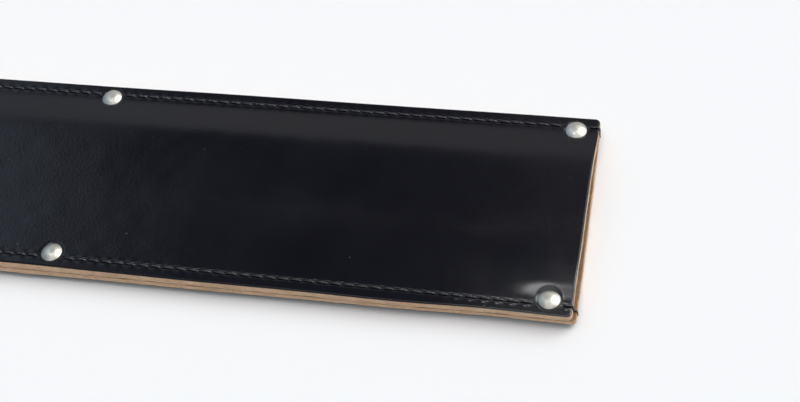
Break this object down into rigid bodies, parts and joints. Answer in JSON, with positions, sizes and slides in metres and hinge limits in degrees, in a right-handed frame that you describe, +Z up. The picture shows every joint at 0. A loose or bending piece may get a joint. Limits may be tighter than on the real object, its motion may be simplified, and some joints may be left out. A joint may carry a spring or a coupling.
{
  "type": "knife blade guard",
  "caption": "Flat rectangular blade guard of black leather for a chef's knife: a front panel raised over the blade's spine and a back panel, sewn and riveted on three sides, with an open mouth.",
  "frame": {"origin": "middle of the underside of the bounding box, the guard lying flat on its back panel", "axes": "+X along the guard and out of its mouth, +Y across it towards the blade's spine side, +Z up through the front panel"},
  "size_m": [0.3218, 0.072, 0.0096],
  "materials": {
    "black_leather": "smooth semi-gloss black leather with bare tan cut edges",
    "thread": "black waxed sewing thread",
    "rivet_metal": "nickel plated, softly polished"
  },
  "bodies": {
    "guard": {"front_panel": "black_leather", "back_panel": "black_leather", "spine_needle_thread": "thread", "spine_bobbin_thread": "thread", "edge_needle_thread": "thread", "edge_bobbin_thread": "thread", "tip_needle_thread": "thread", "tip_bobbin_thread": "thread", "rivet_cap_mouth_spine": "rivet_metal", "rivet_cap_mouth_edge": "rivet_metal", "rivet_cap_middle_spine": "rivet_metal", "rivet_cap_middle_edge": "rivet_metal", "rivet_cap_tip_spine": "rivet_metal", "rivet_cap_tip_edge": "rivet_metal", "rivet_post_mouth_spine": "rivet_metal", "rivet_post_mouth_edge": "rivet_metal", "rivet_post_middle_spine": "rivet_metal", "rivet_post_middle_edge": "rivet_metal", "rivet_post_tip_spine": "rivet_metal", "rivet_post_tip_edge": "rivet_metal"}
  },
  "joints": []
}
